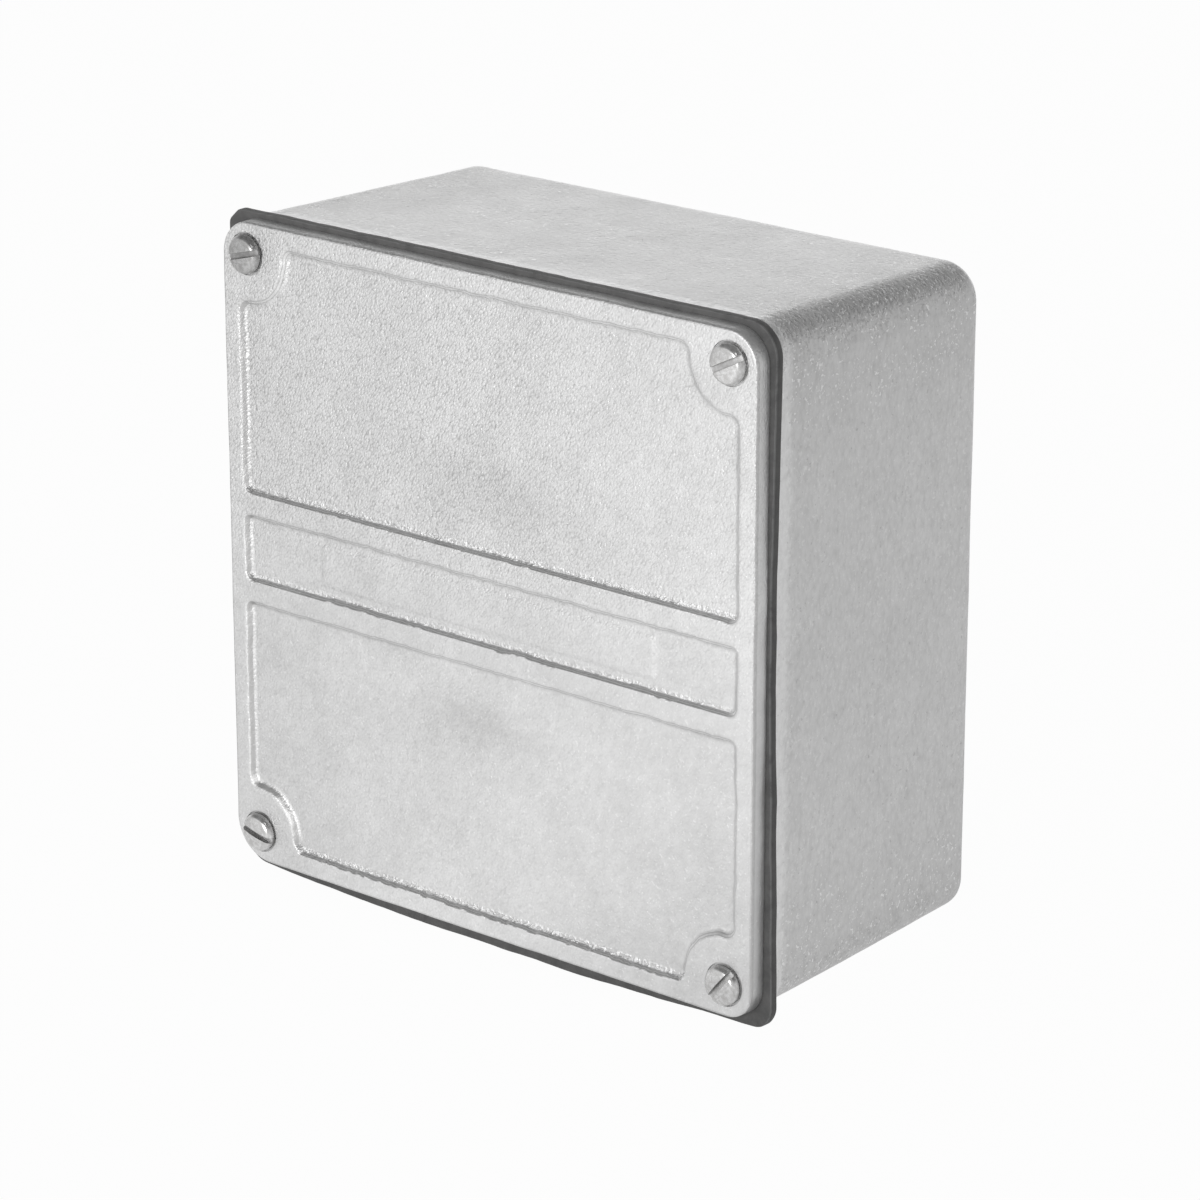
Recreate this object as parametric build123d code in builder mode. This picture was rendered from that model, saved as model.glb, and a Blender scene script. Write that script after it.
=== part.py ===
"""Square cast junction box with a gasketed, screwed-down lid.

Millimetres, +Z up. The box is fixed by its back face, which lies in the XZ plane with its
centre at the origin, and the lid faces -Y. Heights are measured forward from the back face,
so Plane.XZ.offset(rim_height) is the plane of the rim.
"""
from build123d import *
from math import radians, tan
import os

# Box casting
box_width = 203.0
box_depth = 96.0
side_wall = 5.5
back_wall = 5.5
wall_draft = 1.3
box_corner_radius = 11.0
back_edge_radius = 3.5
rim_edge_radius = 0.8
cavity_foot_radius = 2.0

# Corner posts that take the lid screws
screw_inset = 10.35
post_radius = 8.0
post_root_radius = 3.0
post_hole_spare_depth = 4.0

# Gasket, cut from sheet rubber: left and right sides drawn in, top and bottom bowed out a
# little, and the top left corner cut across
gasket_thickness = 3.0
gasket_overhang = 2.7
gasket_waist = 1.5
gasket_bow = 0.2
gasket_corner_radius = 6.5
gasket_cut_corner = 4.0
gasket_cut_radius = 0.8
gasket_setback = 0.8

# Lid casting: a frame and two bars stand proud of three sunk panels
lid_thickness = 5.5
lid_inset = 0.5
lid_corner_radius = 10.5
lid_edge_radius = 1.3
lid_draft = 2.0
lid_frame_width = 6.3
lid_bar_width = 6.8
name_band_height = 20.7
panel_depth = 1.6
panel_draft = 35.0
panel_corner_radius = 2.6
panel_edge_radius = 0.7
panel_foot_radius = 0.8
notch_radius = 14.2
notch_shoulder_radius = 4.0
blank_pad_width = 128.0
blank_pad_height = 12.9
blank_pad_rise = 0.3
blank_pad_radius = 1.0
spot_face_radius = 6.5
spot_face_depth = 0.6

# Lid screws: slotted pan heads, the thread drawn at its pitch diameter
screw_radius = 2.675
screw_length = 20.0
screw_point_chamfer = 0.8
screw_head_radius = 6.0
screw_head_height = 3.5
screw_shoulder_radius = 1.6
screw_crown = 0.25
screw_slot_width = 1.8
screw_slot_depth = 1.8
slot_angles = {"top_left": 15.0, "top_right": 27.0, "bottom_left": -14.0, "bottom_right": 51.0}

# Earth terminal inside the box: boss, plain washer and cheese-head screw
earth_boss_radius = 7.0
earth_boss_height = 6.0
earth_boss_root_radius = 2.0
earth_from_side_wall = 34.0
earth_washer_radius = 5.5
earth_washer_thickness = 1.2
earth_screw_radius = 2.24
earth_screw_length = 9.0
earth_point_chamfer = 0.6
earth_hole_spare_depth = 1.0
earth_head_radius = 4.25
earth_head_height = 3.3
earth_shoulder_radius = 0.5
earth_crown = 0.15
earth_slot_width = 1.2
earth_slot_depth = 1.5
earth_slot_angle = 25.0

# Fits
thread_clearance = 0.05
through_hole_clearance = 0.6
seat_tolerance = 0.01

# Places along the depth, and spans across the front
rim_height = box_depth
lid_back_height = rim_height + gasket_thickness
lid_front_height = lid_back_height + lid_thickness
panel_floor_height = lid_front_height - panel_depth
screw_seat_height = lid_front_height - spot_face_depth
screw_pitch = box_width - 2 * screw_inset
cavity_width = box_width - 2 * side_wall
between_posts = screw_pitch - 2 * post_radius
post_hole_depth = screw_length - (screw_seat_height - rim_height) + post_hole_spare_depth
screw_through_radius = screw_radius + through_hole_clearance

lid_width = box_width - 2 * lid_inset
panel_width = lid_width - 2 * lid_frame_width
name_band_top = name_band_height / 2
large_panel_bottom = name_band_top + lid_bar_width
large_panel_height = panel_width / 2 - large_panel_bottom
large_panel_middle = large_panel_bottom + large_panel_height / 2

back_width = box_width - 2 * box_depth * tan(radians(wall_draft))
earth_across = -(back_width / 2 - side_wall - earth_from_side_wall)
earth_seat_height = back_wall + earth_boss_height
earth_head_seat_height = earth_seat_height + earth_washer_thickness
earth_hole_depth = earth_screw_length - earth_washer_thickness + earth_hole_spare_depth


def at_height(solid_builder, height):
    """The edges of a part that lie flat at one height above the back face."""
    return solid_builder.edges().filter_by_position(
        Axis.Y, -height - seat_tolerance, -height + seat_tolerance
    )


def corner_seat(corner):
    """The plane of a lid screw's seat, at the corner that its name gives."""
    across = screw_pitch / 2 if corner.endswith("right") else -screw_pitch / 2
    up = screw_pitch / 2 if corner.startswith("top") else -screw_pitch / 2
    return Plane(origin=(across, -screw_seat_height, up), x_dir=(1, 0, 0), z_dir=(0, -1, 0))


def slotted_screw(seat, shank, head, slot):
    """A screw whose head stands on the seat plane and whose shank goes down through it."""
    shank_radius, length, point_chamfer = shank
    head_radius, head_height, shoulder_radius, crown = head
    slot_width, slot_depth, slot_angle = slot
    profile_plane = Plane(seat.origin, x_dir=seat.x_dir, z_dir=seat.x_dir.cross(seat.z_dir))
    with BuildPart() as screw:
        with BuildSketch(profile_plane):
            with BuildLine():
                shoulder_start = (head_radius, head_height - crown - shoulder_radius)
                shoulder_end = (head_radius - shoulder_radius, head_height - crown)
                Polyline((0, head_height), (0, 0), (head_radius, 0), shoulder_start)
                TangentArc(shoulder_start, shoulder_end, tangent=(0, 1))
                TangentArc((0, head_height), shoulder_end, tangent=(1, 0))
            make_face()
        revolve(axis=Axis(seat.origin, seat.z_dir))
        with BuildSketch(seat):
            Circle(shank_radius)
        extrude(amount=-length)
        chamfer(screw.edges().sort_by(Axis.Y)[-1], point_chamfer)
        with BuildSketch(seat.offset(head_height)):
            Rectangle(2 * head_radius, slot_width, rotation=slot_angle)
        extrude(amount=-slot_depth - crown, mode=Mode.SUBTRACT)
    return screw.part


# The opening inside the rim: a square whose four corners are filled by the posts
with BuildSketch() as cavity_opening:
    Rectangle(cavity_width, between_posts)
    Rectangle(between_posts, cavity_width)
    Rectangle(screw_pitch, screw_pitch)
    with GridLocations(screw_pitch, screw_pitch, 2, 2):
        Circle(post_radius, mode=Mode.SUBTRACT)
    fillet(cavity_opening.vertices().group_by(SortBy.DISTANCE)[-1], post_root_radius)


# Box casting: a drafted shell with full-depth corner posts and a boss for the earth screw
with BuildPart() as box_body:
    with BuildSketch(Plane.XZ.offset(rim_height)):
        Rectangle(box_width, box_width)
    extrude(amount=-box_depth)
    outer_walls = box_body.faces().filter_by(Axis.Y, reverse=True)
    draft(outer_walls, Plane.XZ.offset(rim_height), -wall_draft)
    fillet(box_body.edges().group_by(Axis.Y)[1], box_corner_radius)
    fillet(at_height(box_body, 0), back_edge_radius)
    fillet(at_height(box_body, rim_height), rim_edge_radius)

    with BuildSketch(Plane.XZ.offset(rim_height)):
        add(cavity_opening.sketch)
    extrude(amount=back_wall - rim_height, taper=wall_draft, mode=Mode.SUBTRACT)
    fillet(at_height(box_body, back_wall), cavity_foot_radius)

    with BuildSketch(Plane.XZ.offset(back_wall)):
        with Locations((earth_across, earth_across)):
            Circle(earth_boss_radius)
    extrude(amount=earth_boss_height)
    boss_root = at_height(box_body, back_wall).sort_by_distance(
        (earth_across, -back_wall, earth_across)
    )[0]
    fillet(boss_root, earth_boss_root_radius)
    with Locations(Plane.XZ.offset(earth_seat_height)):
        with Locations((earth_across, earth_across)):
            Hole(earth_screw_radius + thread_clearance, earth_hole_depth)

    with Locations(Plane.XZ.offset(rim_height)):
        with GridLocations(screw_pitch, screw_pitch, 2, 2):
            Hole(screw_radius + thread_clearance, post_hole_depth)
box_body.part.label = "box_body"


# Gasket: overhangs the rim all round, with holes for the lid screws
with BuildPart() as gasket:
    corner = box_width / 2 + gasket_overhang
    waist = corner - gasket_waist
    bow = corner + gasket_bow
    corners = [(corner, corner), (-corner, corner), (-corner, -corner), (corner, -corner)]
    side_middles = [(0, bow), (-waist, 0), (0, -bow), (waist, 0)]
    with BuildSketch(Plane.XZ.offset(rim_height)) as gasket_outline:
        with BuildLine():
            for start, middle, end in zip(corners, side_middles, corners[1:] + corners[:1]):
                ThreePointArc(start, middle, end)
        make_face()
        from_top_left = gasket_outline.vertices().sort_by(lambda v: v.X - v.Y)
        fillet(from_top_left[1:], gasket_corner_radius)
        top_left = gasket_outline.vertices().sort_by(lambda v: v.X - v.Y)[0]
        chamfer(top_left, gasket_cut_corner)
        cut_ends = gasket_outline.vertices().sort_by(lambda v: v.X - v.Y)[:2]
        fillet(cut_ends, gasket_cut_radius)
    extrude(amount=gasket_thickness)

    with BuildSketch(Plane.XZ.offset(rim_height)):
        add(cavity_opening.sketch)
        offset(amount=gasket_setback)
    extrude(amount=gasket_thickness, mode=Mode.SUBTRACT)
    with Locations(Plane.XZ.offset(lid_back_height)):
        with GridLocations(screw_pitch, screw_pitch, 2, 2):
            Hole(screw_through_radius)
gasket.part.label = "gasket"


# Lid: three sunk panels, the large ones notched round the screws, a bare pad in the band
with BuildPart() as lid:
    with BuildSketch(Plane.XZ.offset(lid_back_height)):
        Rectangle(lid_width, lid_width)
    extrude(amount=lid_thickness)
    lid_sides = lid.faces().filter_by(Axis.Y, reverse=True)
    draft(lid_sides, Plane.XZ.offset(lid_back_height), lid_draft)
    fillet(lid.edges().group_by(Axis.Y)[1], lid_corner_radius)
    fillet(at_height(lid, lid_front_height), lid_edge_radius)

    for side in (1, -1):
        with BuildSketch(Plane.XZ.offset(lid_front_height)) as large_panel:
            with Locations((0, side * large_panel_middle)):
                Rectangle(panel_width, large_panel_height)
            with GridLocations(screw_pitch, screw_pitch, 2, 2):
                Circle(notch_radius, mode=Mode.SUBTRACT)
            by_height = large_panel.vertices().sort_by(Axis.Y, reverse=side < 0)
            fillet(by_height[:2], panel_corner_radius)
            shoulders = large_panel.vertices().sort_by(Axis.Y, reverse=side > 0)[:4]
            fillet(shoulders, notch_shoulder_radius)
        extrude(amount=-panel_depth, taper=panel_draft, mode=Mode.SUBTRACT)
    with BuildSketch(Plane.XZ.offset(lid_front_height)):
        RectangleRounded(panel_width, name_band_height, panel_corner_radius)
    extrude(amount=-panel_depth, taper=panel_draft, mode=Mode.SUBTRACT)

    foot_edges = at_height(lid, panel_floor_height)
    fillet(foot_edges, panel_foot_radius)
    panel_reach = panel_width / 2 + seat_tolerance
    rim_edges = at_height(lid, lid_front_height).filter_by_position(
        Axis.X, -panel_reach, panel_reach
    )
    fillet(rim_edges.filter_by_position(Axis.Z, -panel_reach, panel_reach), panel_edge_radius)

    with BuildSketch(Plane.XZ.offset(panel_floor_height)):
        RectangleRounded(blank_pad_width, blank_pad_height, blank_pad_radius)
    extrude(amount=blank_pad_rise)
    with Locations(Plane.XZ.offset(lid_front_height)):
        with GridLocations(screw_pitch, screw_pitch, 2, 2):
            CounterBoreHole(screw_through_radius, spot_face_radius, spot_face_depth)
lid.part.label = "lid"


# Earth washer, flat on the boss
with BuildPart() as earth_washer:
    with BuildSketch(Plane.XZ.offset(earth_seat_height)):
        with Locations((earth_across, earth_across)):
            Circle(earth_washer_radius)
            Circle(earth_screw_radius + through_hole_clearance / 2, mode=Mode.SUBTRACT)
    extrude(amount=earth_washer_thickness)
earth_washer.part.label = "earth_washer"


# Earth screw, clamping the washer to the boss
earth_seat = Plane(
    origin=(earth_across, -earth_head_seat_height, earth_across), x_dir=(1, 0, 0), z_dir=(0, -1, 0)
)
earth_screw = slotted_screw(
    earth_seat,
    shank=(earth_screw_radius, earth_screw_length, earth_point_chamfer),
    head=(earth_head_radius, earth_head_height, earth_shoulder_radius, earth_crown),
    slot=(earth_slot_width, earth_slot_depth, earth_slot_angle),
)
earth_screw.label = "earth_screw"


# Lid screws, one in each corner, left at the angles at which they were tightened
lid_screws = []
for corner_name, slot_angle in slot_angles.items():
    lid_screw = slotted_screw(
        corner_seat(corner_name),
        shank=(screw_radius, screw_length, screw_point_chamfer),
        head=(screw_head_radius, screw_head_height, screw_shoulder_radius, screw_crown),
        slot=(screw_slot_width, screw_slot_depth, slot_angle),
    )
    lid_screw.label = "lid_screw_" + corner_name
    lid_screws.append(lid_screw)


os.makedirs("parts", exist_ok=True)
pieces = [box_body.part, gasket.part, lid.part, earth_washer.part, earth_screw] + lid_screws
for piece in pieces:
    export_step(piece, "parts/" + piece.label + ".step")
    print(piece.label, round(piece.volume), "cubic millimetres")
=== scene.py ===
# %% [markdown]
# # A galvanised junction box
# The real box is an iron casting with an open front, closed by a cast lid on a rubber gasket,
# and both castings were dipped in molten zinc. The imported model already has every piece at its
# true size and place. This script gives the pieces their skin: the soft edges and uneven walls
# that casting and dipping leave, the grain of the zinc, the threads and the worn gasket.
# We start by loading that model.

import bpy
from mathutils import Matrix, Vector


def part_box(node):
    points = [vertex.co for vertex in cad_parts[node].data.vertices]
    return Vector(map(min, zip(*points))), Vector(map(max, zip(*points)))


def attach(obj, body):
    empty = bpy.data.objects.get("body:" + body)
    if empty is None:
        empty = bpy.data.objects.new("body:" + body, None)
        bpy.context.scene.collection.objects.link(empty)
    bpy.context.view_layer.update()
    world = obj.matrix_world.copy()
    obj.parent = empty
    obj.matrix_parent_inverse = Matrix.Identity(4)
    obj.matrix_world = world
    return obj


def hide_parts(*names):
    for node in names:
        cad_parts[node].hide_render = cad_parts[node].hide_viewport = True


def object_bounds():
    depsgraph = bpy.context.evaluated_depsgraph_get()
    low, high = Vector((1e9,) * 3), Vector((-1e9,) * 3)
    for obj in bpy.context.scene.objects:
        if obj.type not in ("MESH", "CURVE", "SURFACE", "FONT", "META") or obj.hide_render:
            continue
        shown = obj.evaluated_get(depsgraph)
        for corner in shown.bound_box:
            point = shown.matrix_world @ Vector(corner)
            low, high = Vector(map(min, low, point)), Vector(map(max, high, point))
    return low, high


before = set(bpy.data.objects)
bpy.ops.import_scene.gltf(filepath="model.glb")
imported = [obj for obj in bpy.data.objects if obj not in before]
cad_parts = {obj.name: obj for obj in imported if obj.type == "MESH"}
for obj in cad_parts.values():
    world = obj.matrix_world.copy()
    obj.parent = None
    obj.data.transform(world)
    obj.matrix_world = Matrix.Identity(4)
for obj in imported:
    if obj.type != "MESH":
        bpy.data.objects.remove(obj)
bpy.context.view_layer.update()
print("pieces in the packed model:", sorted(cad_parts))

# %% Tools and the unit
import math

import bmesh
import bpy
import numpy as np
from mathutils import Matrix, Vector, noise

MM = 0.001
lid_low, lid_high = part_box("lid")
body_low, body_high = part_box("box_body")
gasket_low, gasket_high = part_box("gasket")
print("lid width in mm:", round((lid_high.x - lid_low.x) / MM, 1))

# %% [markdown]
# ## The camera
# The photograph was taken with a long lens from the right of the lid and a little above it.
# The lens, distance and angles come from fitting the panel corners, the screws and the back
# corners of the box, all in one go, so a piece at its true place lands within a few pixels of
# its place in the picture. A lens without shift leaves the upright lines slightly converging.

# %% The camera
AZIMUTH = math.radians(40.3)
ELEVATION = math.radians(18.72)
DISTANCE = 1.322
LENS = 140.9
SENSOR = 36.0
aim = Vector((45.3 * MM, lid_low.y, 13.6 * MM))
away = Vector((
    math.sin(AZIMUTH) * math.cos(ELEVATION),
    -math.cos(AZIMUTH) * math.cos(ELEVATION),
    math.sin(ELEVATION),
))
camera = bpy.data.objects.new("camera", bpy.data.cameras.new("camera"))
camera.data.lens = LENS
camera.data.sensor_width = SENSOR
camera.location = aim + away * DISTANCE
camera.rotation_mode = "QUATERNION"
camera.rotation_quaternion = (-away).to_track_quat("-Z", "Y")
bpy.context.scene.collection.objects.link(camera)
bpy.context.scene.camera = camera
print("camera stands", round(DISTANCE, 2), "m from the lid")

# %% [markdown]
# ## Shader maths
# A material is a small calculation, and nodes are an awkward way to write one. The class Wire
# wraps an output socket and lets Python's own operators add the Math nodes, so a formula in
# the script reads like a formula. Everything else goes through one method, Sheet.node, which
# sets a node's settings first and then fills its sockets with values or links.

# %% Wire and Sheet


class Wire:
    """An output socket that Python can calculate with."""

    def __init__(self, sheet, socket):
        self.sheet = sheet
        self.socket = socket

    def maths(self, operation, *others):
        """The result of a Math node with this socket first."""
        return self.sheet.number(operation, self, *others)

    def __add__(self, other):
        return self.maths("ADD", other)

    def __sub__(self, other):
        if isinstance(other, tuple):
            return self.sheet.vector("SUBTRACT", self, other)
        return self.maths("SUBTRACT", other)

    def __rsub__(self, other):
        return self.sheet.number("SUBTRACT", other, self)

    def __mul__(self, other):
        return self.maths("MULTIPLY", other)

    def __truediv__(self, other):
        return self.maths("DIVIDE", other)

    def __pow__(self, other):
        return self.maths("POWER", other)

    __radd__ = __add__
    __rmul__ = __mul__


class Sheet:
    """The node tree of one material or of the world."""

    def __init__(self, tree):
        self.tree = tree
        tree.nodes.clear()

    def node(self, kind, settings=None, inputs=(), output=0):
        """A new node: first its settings, then its inputs; the result is one of its outputs."""
        made = self.tree.nodes.new(kind)
        for name, value in (settings or {}).items():
            setattr(made, name, value)
        pairs = inputs.items() if isinstance(inputs, dict) else enumerate(inputs)
        for name, value in pairs:
            if isinstance(value, Wire):
                self.tree.links.new(value.socket, made.inputs[name])
            else:
                made.inputs[name].default_value = value
        return Wire(self, made.outputs[output]) if made.outputs else made

    def number(self, operation, *values):
        """A Math node on numbers."""
        return self.node("ShaderNodeMath", {"operation": operation}, values)

    def vector(self, operation, *values, output="Vector"):
        """A Vector Math node on places and directions."""
        return self.node("ShaderNodeVectorMath", {"operation": operation}, values, output)

    def place(self):
        """Where a point of the piece is, in metres, in the piece's own space."""
        return self.node("ShaderNodeTexCoord", output="Object")

    def part(self, vector, axis):
        """One of the three numbers of a vector."""
        return self.node("ShaderNodeSeparateXYZ", None, [vector], axis)

    def grain(self, size, detail, rough, place, warp=0.0):
        """Noise between 0 and 1, whose lumps are about size across."""
        return self.node(
            "ShaderNodeTexNoise",
            {"noise_dimensions": "3D"},
            {
                "Vector": place,
                "Scale": 1 / size,
                "Detail": detail,
                "Roughness": rough,
                "Distortion": warp,
            },
        )

    def bumps(self, size, place):
        """Round bumps about size apart, from 1 at their tops to 0 and below between them."""
        away = self.node(
            "ShaderNodeTexVoronoi",
            {"feature": "F1", "voronoi_dimensions": "3D"},
            {"Vector": place, "Scale": 1 / size},
            "Distance",
        )
        return 1 - away * away

    def band(self, value, low, high):
        """0 below low and 1 above high, with a smooth climb between."""
        return self.node(
            "ShaderNodeMapRange",
            {"interpolation_type": "SMOOTHSTEP"},
            {"Value": value, "From Min": low, "From Max": high},
        )

    def mix(self, share, first, second):
        """A blend of two colours."""
        return self.node("ShaderNodeMix", {"data_type": "RGBA"}, {0: share, 6: first, 7: second}, 2)

    def bump(self, height, depth):
        """A normal tilted by a height from 0 to 1 that stands for depth in metres."""
        inputs = {"Height": height, "Distance": depth, "Strength": 1.0}
        return self.node("ShaderNodeBump", None, inputs)


def grey(level, warmth=0.0):
    """A near-neutral colour; a warmth above 0 leans to yellow."""
    return (level * (1 + warmth), level, level * (1 - warmth), 1)


def material(name, write):
    """A new material whose nodes the function write lays out; it returns the shader."""
    made = bpy.data.materials.new(name)
    made.use_nodes = True
    sheet = Sheet(made.node_tree)
    sheet.node("ShaderNodeOutputMaterial", None, {"Surface": write(sheet)})
    print("material", name, "with", len(made.node_tree.nodes), "nodes")
    return made


# %% [markdown]
# ## Zinc on iron
# Hot-dip zinc is a matt metal: pale, with a skin like orange peel where the casting sand
# showed through, tiny bright nodules, and cloudy patches where the layer is thicker. The
# clouds go into the colour and the roughness, and the peel and the nodules into the bump,
# because they are smaller than the mesh can carry. The peel is a mix of round bumps and
# noise, drawn out along one direction, the way in which the zinc ran: upright on the shell,
# slanting on the lid. Along the long round edges of the shell the zinc is thin, dark and
# pitted, with bright specks. A lumpy band along its rim carries a painted highlight, and its
# top and bottom faces carry a little painted light.

# %% The zinc finish
ZINC_SHADE = 0.70
SHELL_GRAIN = (1.3 * MM, 0.2 * MM)
LID_GRAIN = (0.62 * MM, 0.18 * MM)
UPRIGHT = (0, 0, 1)
SLANTING = (0.62, 0, 0.78)
DRAWN_OUT = 0.4


def zinc(sheet, grain, streak, coarse, extra_tone, extra_height):
    """A galvanised shader; grain is a size and a depth, coarse the grain's local strength."""
    place = sheet.place()
    along = sheet.vector("DOT_PRODUCT", place, streak, output="Value")
    streaked = sheet.vector("MULTIPLY_ADD", streak, along * -DRAWN_OUT, place)
    size, depth = grain
    clouds = sheet.grain(16 * MM, 3, 0.6, place)
    mottle = sheet.grain(2.4 * MM, 3, 0.6, streaked, 0.4)
    bumps = sheet.bumps(size, streaked)
    fine = sheet.grain(size, 2, 0.6, streaked)
    nodules = sheet.band(sheet.grain(0.8 * MM, 0, 0.5, place), 0.70, 0.78)
    peel = ((bumps - 0.65) * 0.8 + (fine - 0.5) * 0.7) * coarse
    tone = (clouds - 0.5) * 0.14 + (mottle - 0.5) * 0.16 + peel * 0.2 + nodules * 0.06 + extra_tone
    share = sheet.band(tone, -0.25, 0.25)
    height = peel + nodules * 0.15 + extra_height
    return sheet.node(
        "ShaderNodeBsdfPrincipled",
        None,
        {
            "Base Color": sheet.mix(share, grey(ZINC_SHADE * 0.70, 0.003), grey(ZINC_SHADE * 1.24)),
            "Metallic": 0.88,
            "Roughness": 0.44 + (clouds - 0.5) * 0.16 + (mottle - 0.5) * 0.1 - nodules * 0.1,
            "Normal": sheet.bump(height, depth),
        },
    )


# %% The shell's finish


def shell_finish(sheet):
    """The shell's zinc: edge, specks, flecks and rim are all found from distances in metres."""
    place = sheet.place()
    across = sheet.part(place, "X").maths("ABSOLUTE")
    up = sheet.part(place, "Z").maths("ABSOLUTE")
    from_back = 0 - sheet.part(place, "Y")
    lumps = sheet.grain(2.2 * MM, 2, 0.5, place)
    clouds = sheet.grain(9 * MM, 3, 0.6, place)
    diagonal = across + up + (clouds - 0.5) * 16 * MM
    edge = sheet.band(diagonal, 184 * MM, 194 * MM)
    near_edge = sheet.band(diagonal, 150 * MM, 188 * MM)
    pits = sheet.band(sheet.grain(1.3 * MM, 2, 0.6, place), 0.5, 0.66)
    specks = sheet.band(sheet.grain(1.05 * MM, 1, 0.5, place), 0.63, 0.69)
    specks = specks * (0.08 + sheet.band(diagonal, 168 * MM, 186 * MM)) * sheet.band(clouds, 0.4, 0.55)
    flecks = sheet.band(sheet.grain(1.2 * MM, 1, 0.5, place), 0.70, 0.78)
    # A lumpy band along the rim: its bumps are real, its lighter colour is a painted highlight.
    rim_bumps_and_highlight = sheet.band(from_back + lumps * 4 * MM, 90.5 * MM, 94 * MM)
    tone = rim_bumps_and_highlight * (0.05 + lumps * 0.14) - edge * (0.03 + pits * 0.1) - near_edge * 0.045
    # The band on up lifts the top and bottom faces a little: painted light.
    tone = tone + specks * 0.8 - flecks * 0.12 + sheet.band(up, 97 * MM, 101 * MM) * 0.03
    height = rim_bumps_and_highlight * lumps * 1.0 - edge * pits * 0.4 + specks * 0.5 - flecks * 0.3
    return zinc(sheet, SHELL_GRAIN, UPRIGHT, 0.45, tone, height)


shell_zinc = material("shell_zinc", shell_finish)

# %% [markdown]
# ## Rubber, plated steel and brass
# The gasket is cut from dark grey sheet rubber: matt, a little dusty, above all on top, with
# a fine grain and a painted highlight, a lighter line, along its front edge. The screws are
# turned from steel and plated, so they mirror the room; very fine rings from the lathe, a few
# rubbed patches and painted shade in the slot keep them from looking like glass. The one at
# the top left is duller than the others. The earth terminal inside is plain brass.

# %% Rubber


def rubber(sheet):
    """Sheet rubber with dust, and a painted highlight: a lighter line just behind the gasket's front
    face.
    """
    place = sheet.place()
    dust = sheet.grain(5 * MM, 4, 0.65, place)
    grain = sheet.grain(0.5 * MM, 3, 0.7, place)
    ripple = sheet.grain(3.5 * MM, 2, 0.5, place)
    behind_front = sheet.part(place, "Y") - gasket_low.y
    # Painted highlight: a lighter line just behind the rounded front edge.
    front_edge_highlight = sheet.band(behind_front, 0.02 * MM, 0.12 * MM)
    front_edge_highlight = front_edge_highlight * (1 - sheet.band(behind_front, 0.4 * MM, 0.8 * MM)) * sheet.band(dust, 0.2, 0.6)
    fallen = sheet.band(sheet.part(place, "Z"), 99 * MM, 102 * MM) * 0.4
    dull = sheet.mix(sheet.band(dust, 0.25, 0.8) + fallen, grey(0.075), grey(0.14, 0.01))
    return sheet.node(
        "ShaderNodeBsdfPrincipled",
        None,
        {
            "Base Color": sheet.mix(front_edge_highlight * 0.8, dull, grey(0.24)),
            "Roughness": 0.62 + (dust - 0.5) * 0.3,
            "Specular IOR Level": 0.45,
            "Normal": sheet.bump(grain * 0.4 + ripple, 0.12 * MM),
        },
    )


gasket_rubber = material("gasket_rubber", rubber)

# %% Turned metal
SLOT_HALF = 0.9 * MM


def turned_metal(bright, dull, roughness, slot_half=None):
    """A turned metal with rings round the piece's own Z axis and, if asked for, painted shade in a slot
    along X.
    """

    def write(sheet):
        place = sheet.place()
        flat = sheet.vector("MULTIPLY", place, (1, 1, 0))
        radius = sheet.vector("LENGTH", flat, output="Value")
        rings = sheet.grain(0.12 * MM, 1, 0.5, sheet.node(
            "ShaderNodeCombineXYZ", None, [radius, 0.0, 0.0]
        ))
        rubbed = sheet.grain(1.6 * MM, 3, 0.6, place, 0.5)
        colour = sheet.mix(sheet.band(rubbed, 0.3, 0.75), dull, bright)
        rough = roughness + (rubbed - 0.5) * 0.16
        if slot_half:
            from_slot = sheet.part(place, "Y").maths("ABSOLUTE")
            inside = 1 - sheet.band(from_slot, slot_half, slot_half + 0.1 * MM)
            # Painted shade in the slot, darkest at its walls.
            slot_shade = inside * (0.1 + sheet.band(from_slot, slot_half / 2, slot_half) * 0.25)
            colour = sheet.mix(slot_shade, colour, grey(0.12, 0.02))
            rough = rough + inside * 0.3
        return sheet.node(
            "ShaderNodeBsdfPrincipled",
            None,
            {
                "Base Color": colour,
                "Metallic": 1.0,
                "Roughness": rough,
                "Normal": sheet.bump(rings, 0.006 * MM),
            },
        )

    return write


# %% Plated steel and brass
plated_steel = material(
    "plated_steel", turned_metal(grey(0.74), grey(0.52, 0.01), 0.24, SLOT_HALF)
)
duller_steel = material(
    "duller_steel", turned_metal(grey(0.56), grey(0.36, 0.01), 0.27, SLOT_HALF)
)
turned_brass = material(
    "turned_brass", turned_metal((0.80, 0.60, 0.27, 1), (0.62, 0.43, 0.18, 1), 0.3)
)

# %% [markdown]
# ## Outlines from distances
# Every outline here is made of straight edges with rounded corners, and each edge can be
# written as a signed distance: negative on the inside, positive outside. Two distances join
# in one round corner with round_max. A rounded square, the notched panels and the opening
# between the corner posts all come from this one function, and the same distance also tells
# how far a point is from the edge, which is what a soft cast wall needs.

# %% Distances
FARTHEST = 0.3
HALVINGS = 40


def round_max(first, second, radius):
    """The distance to a corner where two edges meet in a round of that radius."""
    a = first + radius
    b = second + radius
    outside = np.hypot(np.maximum(a, 0), np.maximum(b, 0))
    return np.minimum(np.maximum(a, b), 0) + outside - radius


def rounded_box(across, up, half_width, half_height, radius):
    """The distance to a box with rounded corners."""
    return round_max(np.abs(across) - half_width, np.abs(up) - half_height, radius)


def smooth_step(share):
    """0 below 0, 1 above 1 and a soft climb between."""
    t = np.clip(share, 0, 1)
    return t * t * (3 - 2 * t)


def waves(points, size, seed):
    """Smooth noise at each point, from about -1 to 1, with lumps about size across."""
    shift = Vector((seed * 7.3, seed * 3.1, seed * 5.7))
    return np.array([noise.noise(Vector(p) / size + shift) for p in points])


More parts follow.
